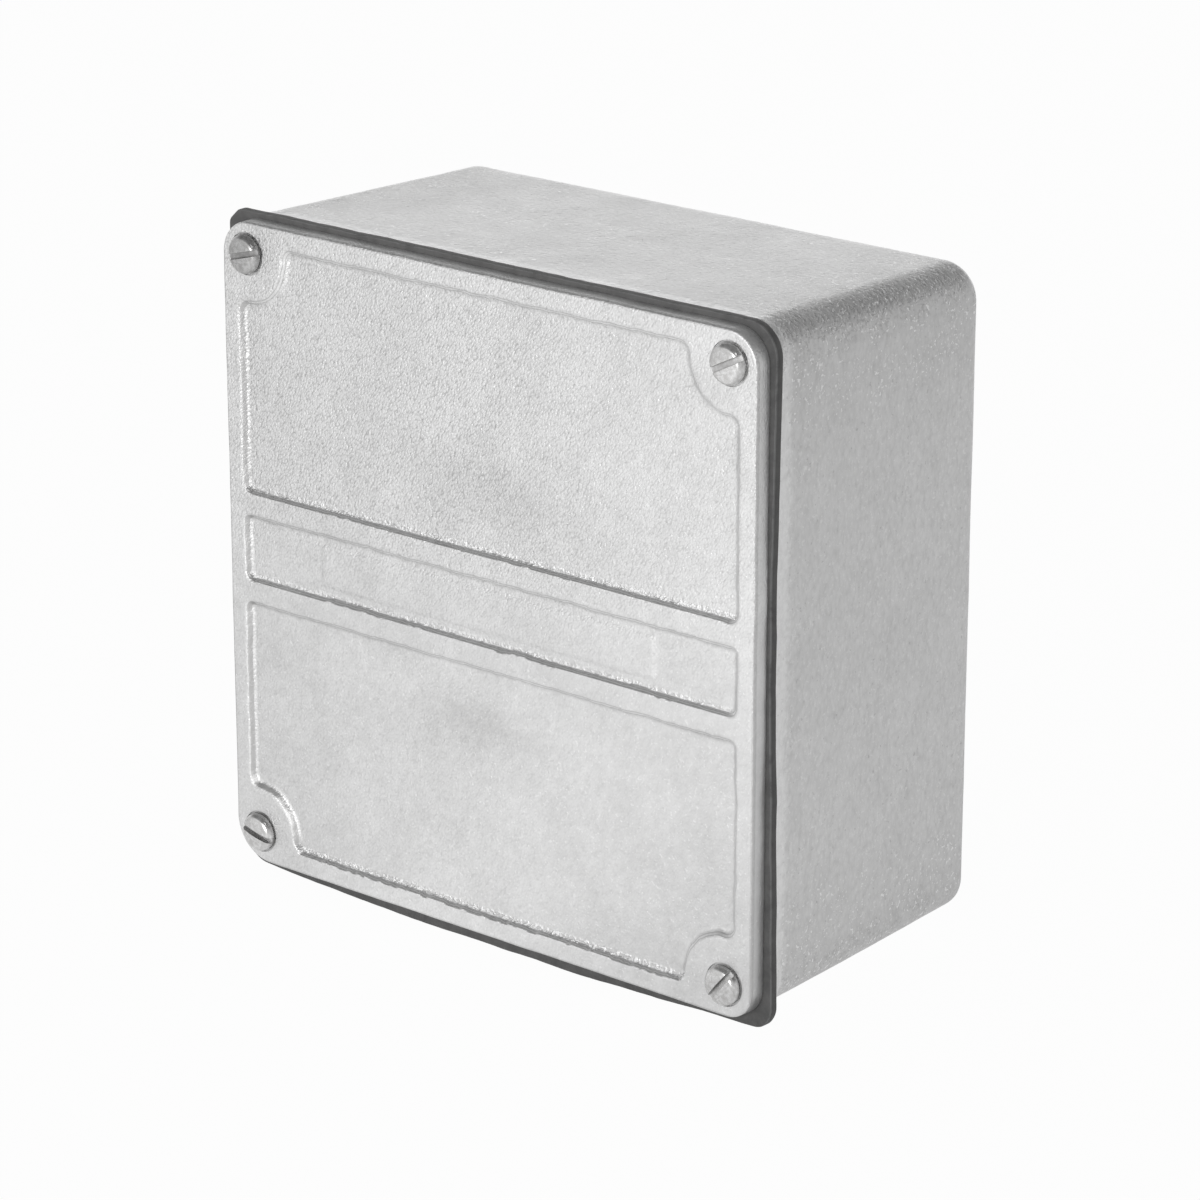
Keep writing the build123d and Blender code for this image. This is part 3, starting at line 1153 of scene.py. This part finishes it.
def slotted_screw(name):
    """A whole screw on its own axis: head, slot, soft edges and threaded shank."""
    head = build(name, *joined_rings(turned_rings(
        head_profile(HEAD_RADIUS, HEAD_HEIGHT, SHOULDER, CROWN), 96
    )))
    saw = build("saw", *joined_rings([
        np.array([
            (-2 * HEAD_RADIUS, -SLOT_HALF, z), (2 * HEAD_RADIUS, -SLOT_HALF, z),
            (2 * HEAD_RADIUS, SLOT_HALF, z), (-2 * HEAD_RADIUS, SLOT_HALF, z),
        ])
        for z in (HEAD_HEIGHT - SLOT_DEPTH, HEAD_HEIGHT + MM)
    ]))
    carve(head, saw)
    soften = head.modifiers.new("edges", "BEVEL")
    soften.width = 0.09 * MM
    soften.segments = 2
    soften.angle_limit = math.radians(40)
    apply_modifiers(head)
    shank = build("shank", *joined_rings(thread_rings(SHANK_LENGTH, THREAD_TOP, THREAD_ROOT, PITCH)))
    work = bmesh.new()
    work.from_mesh(head.data)
    work.from_mesh(shank.data)
    work.to_mesh(head.data)
    work.free()
    bpy.data.objects.remove(shank)
    return head


# %% Four lid screws
SLOT_ANGLES = {"top_left": 15, "top_right": 27, "bottom_left": -14, "bottom_right": 51}
outward = Matrix.Rotation(math.radians(90), 4, "X")
for corner, middle in screw_middles.items():
    screw = slotted_screw("pan_screw_" + corner)
    seat = Matrix.Translation((middle.x, lid_front + SPOT_DEPTH, middle.z))
    turn = Matrix.Rotation(math.radians(SLOT_ANGLES[corner]), 4, "Z")
    screw.matrix_world = seat @ outward @ turn
    steel = duller_steel if corner == "top_left" else plated_steel
    dress(screw, "fixing_" + corner, steel, "lid_screw_" + corner, crease=30.0)

# %% [markdown]
# ## The earth terminal
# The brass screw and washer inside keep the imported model's own shapes, which are right as
# they are. They only need their finish.

# %% The brass finish
for node in ("earth_screw", "earth_washer"):
    brass_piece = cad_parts[node]
    brass_piece.data.materials.clear()
    brass_piece.data.materials.append(turned_brass)
    print(node, "is brass")

# %% [markdown]
# ## Floor, world and lamps
# The photograph is a cut-out on white. The floor is a very pale plane that keeps only a faint
# shadow, and the world shows as white behind it. What the metal mirrors matters more than what
# the eye sees behind it: zinc and plated steel take their greys from the room. The room of
# the photograph is bright low down in front of the lid and behind the box on the left, and
# dark overhead, which is why the walls of the panels that face up are the darkest. One
# function says how bright the room is in each direction, for the floor and for the world, and
# a wide pool of light on the floor in front of the lid is mirrored in it. A large soft lamp
# in front and a small one high on the right give the edges their thin highlights. The floor
# lies at the lowest point of the dressed box, so that it doesn't cut the sagging gasket.

# %% How bright the room is
BOX_MIDDLE = Vector((0, -50 * MM, 0))
MIDDLE_ABOVE_FLOOR = (0, -50 * MM, 100 * MM)
FRONT = (-0.34, -0.94, 0)
BEHIND = (-0.65, 0.76, 0)
LOW_DOWN = 0.74
OVERHEAD = 0.26
POOL_MIDDLE = (0.2, -0.6, 0)
POOL_REACH = 0.5
POOL_STRENGTH = 0.3


def room_light(sheet, direction):
    """The brightness of the room in a direction from the box."""
    flat = sheet.vector("NORMALIZE", sheet.vector("MULTIPLY", direction, (1, 1, 0)))
    height = sheet.part(sheet.vector("NORMALIZE", direction), "Z")
    front = sheet.vector("DOT_PRODUCT", flat, FRONT, output="Value").maths("MAXIMUM", 0.0) ** 4
    behind = sheet.vector("DOT_PRODUCT", flat, BEHIND, output="Value").maths("MAXIMUM", 0.0) ** 4
    level = LOW_DOWN + front * 0.28 + behind * 0.9
    return level + sheet.band(height, 0.25, 0.55) * (OVERHEAD - level)


def pool_of_light(sheet, place):
    """A bright pool on the floor in front of the lid, fading outwards."""
    away = sheet.vector("LENGTH", place - POOL_MIDDLE, output="Value")
    return (0 - (away / POOL_REACH) ** 2).maths("EXPONENT") * POOL_STRENGTH


# %% Floor
FLOOR_HALF = 8
floor_mesh = bpy.data.meshes.new("floor")
work = bmesh.new()
bmesh.ops.create_grid(work, x_segments=1, y_segments=1, size=FLOOR_HALF)
work.to_mesh(floor_mesh)
work.free()
floor = bpy.data.objects.new("floor", floor_mesh)
floor.location.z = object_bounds()[0].z
bpy.context.scene.collection.objects.link(floor)


def floor_finish(sheet):
    """Near white to the eye, as bright as the room to a mirror, and pale paint to the rest."""
    seen = sheet.node("ShaderNodeLightPath", output="Is Camera Ray")
    mirrored_ray = sheet.node("ShaderNodeLightPath", output="Is Glossy Ray")
    paint = sheet.node("ShaderNodeBsdfDiffuse", None, {"Color": grey(0.82)})
    place = sheet.place()
    light = room_light(sheet, place - MIDDLE_ABOVE_FLOOR) + pool_of_light(sheet, place)
    strength = seen + mirrored_ray * light
    glow = sheet.node("ShaderNodeEmission", None, {"Color": grey(1.0), "Strength": strength})
    share = seen * 0.97 + mirrored_ray * 0.92
    return sheet.node("ShaderNodeMixShader", None, [share, paint, glow])


floor.data.materials.append(material("pale_floor", floor_finish))

# %% World
world = bpy.data.worlds.new("studio")
bpy.context.scene.world = world
world.use_nodes = True
sky = Sheet(world.node_tree)
seen = sky.node("ShaderNodeLightPath", output="Is Camera Ray")
light = room_light(sky, sky.node("ShaderNodeTexCoord", output="Generated"))
strength = seen + (1 - seen) * light
room = sky.node("ShaderNodeBackground", None, {"Color": grey(1.0), "Strength": strength})
sky.node("ShaderNodeOutputWorld", None, {"Surface": room})
print("world with", len(world.node_tree.nodes), "nodes")

# %% Lamps


def soft_lamp(name, place, size, power):
    """A square area lamp that looks at the box."""
    lamp = bpy.data.objects.new(name, bpy.data.lights.new(name, "AREA"))
    lamp.data.shape = "SQUARE"
    lamp.data.size = size
    lamp.data.energy = power
    lamp.location = place
    lamp.rotation_mode = "QUATERNION"
    lamp.rotation_quaternion = (Vector(place) - BOX_MIDDLE).to_track_quat("Z", "Y")
    bpy.context.scene.collection.objects.link(lamp)
    print("lamp", name, power, "W")


soft_lamp("front", (0.1, -1.6, 0.14), 0.7, 6.8)
soft_lamp("high right", (0.55, -1.0, 0.98), 0.14, 0.6)
bpy.context.scene.view_settings.view_transform = "Standard"
